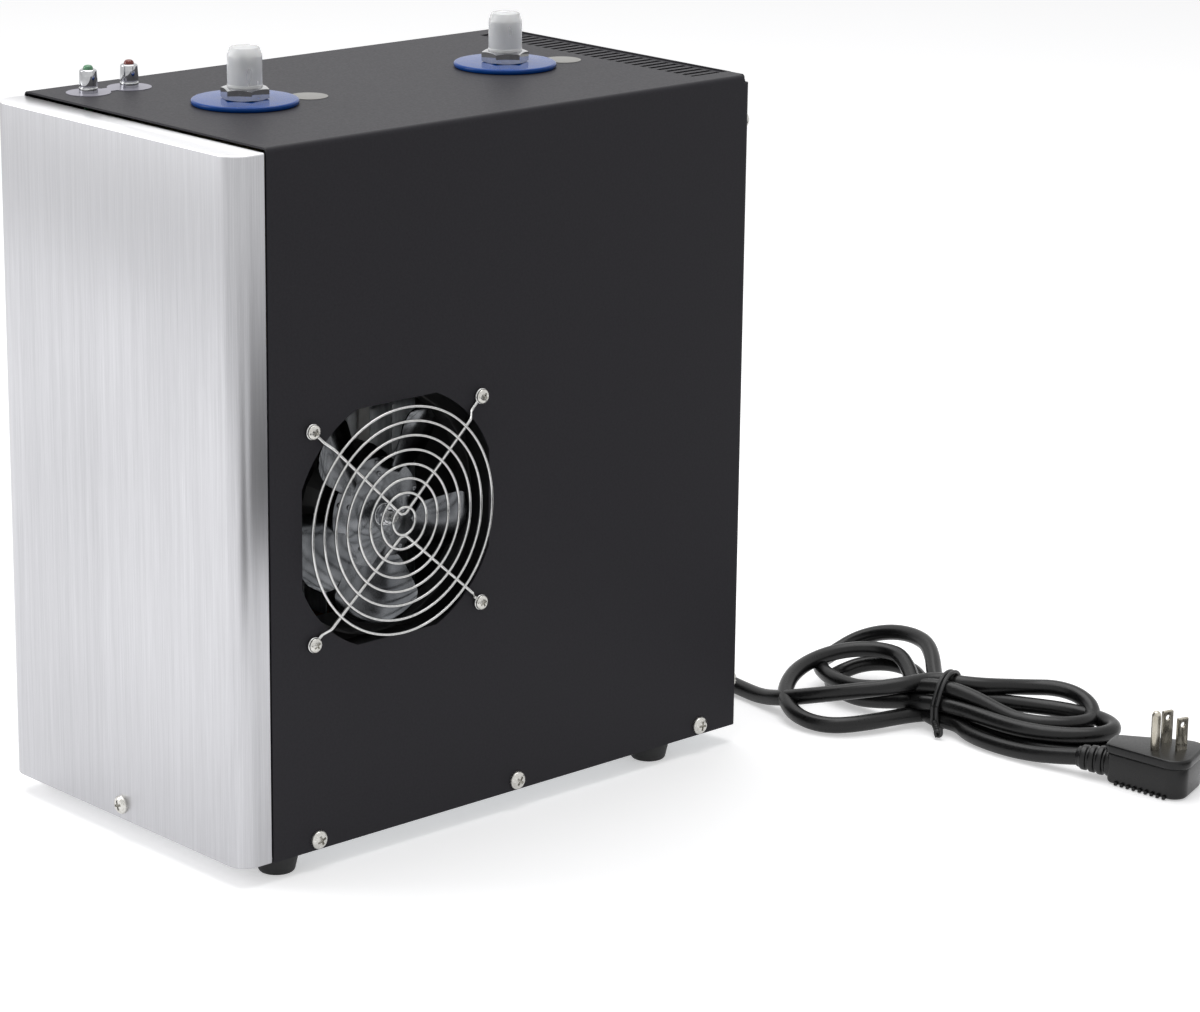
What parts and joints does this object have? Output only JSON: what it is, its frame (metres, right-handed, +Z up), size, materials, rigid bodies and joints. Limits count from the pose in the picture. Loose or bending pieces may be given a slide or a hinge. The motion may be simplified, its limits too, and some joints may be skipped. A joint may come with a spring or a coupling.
{
  "type": "water chiller",
  "caption": "Compact under-counter water chiller: black sheet case with a stainless front, top water ports and lamps, and a fan behind a round wire guard in its side.",
  "frame": {"origin": "on the floor, under the middle of the case's box", "axes": "+Z up, -Y out of the stainless front, +X out of the side with the fan"},
  "size_m": [0.4067, 0.4821, 0.3848],
  "materials": {
    "stainless": "brushed, vertical grain",
    "black_coat": "satin powder coat",
    "zinc_sheet": "plain zinc-plated sheet",
    "rubber": "matte",
    "screw_zinc": "bright zinc plate",
    "chrome_wire": "bright chrome plate",
    "bright_aluminium": "polished",
    "shaft_steel": "turned",
    "motor_black": "satin paint",
    "fin_aluminium": "mill finish",
    "compressor_black": "gloss paint",
    "black_plastic": "fine texture",
    "foam": "rigid insulating foam",
    "copper": "bare copper",
    "blue_plastic": "glossy",
    "chrome_metal": "bright plate",
    "clear_plastic": "translucent",
    "green_lens": "translucent lens",
    "red_lens": "translucent lens",
    "cord_black": "smooth sheath",
    "tie_plastic": "plastic-coated wire",
    "pin_brass": "nickel plate"
  },
  "bodies": {
    "chassis": {"front_panel": "stainless", "cover": "black_coat", "rear_panel": "black_coat", "base_pan": "zinc_sheet", "feet": "rubber", "case_screws": "screw_zinc", "fan_guard": "chrome_wire", "guard_feet": "chrome_wire", "guard_screws": "screw_zinc", "fan_motor": "motor_black", "motor_bracket": "zinc_sheet", "fan_shroud": "black_coat", "condenser": "fin_aluminium", "compressor": "compressor_black", "compressor_mounts": "rubber", "terminal_box": "black_plastic", "tank_deck": "zinc_sheet", "foam_block": "foam", "cold_tank": "stainless", "evaporator": "copper", "port_stubs": "stainless", "inlet_disc": "blue_plastic", "outlet_disc": "blue_plastic", "port_nuts": "chrome_metal", "thread_caps": "clear_plastic", "lamp_holders": "chrome_metal", "green_lamp": "green_lens", "red_lamp": "red_lens", "thermostat": "black_plastic", "sensing_tube": "copper", "filter_drier": "copper", "discharge_pipe": "copper", "liquid_pipe": "copper", "capillary_tube": "copper", "suction_pipe": "copper", "cord_bush": "black_plastic", "power_cord": "cord_black", "cord_tail": "cord_black", "cord_hank": "cord_black", "cord_tie": "tie_plastic", "plug": "black_plastic", "plug_pins": "pin_brass"},
    "fan": {"fan_blades": "bright_aluminium", "fan_shaft": "shaft_steel", "shaft_nut": "shaft_steel"}
  },
  "joints": [
    {"name": "fan_spin", "type": "hinge", "parent": "chassis", "child": "fan", "pos_m": [0.079, -0.068, 0.167], "axis": [1, 0, 0], "continuous": true}
  ]
}
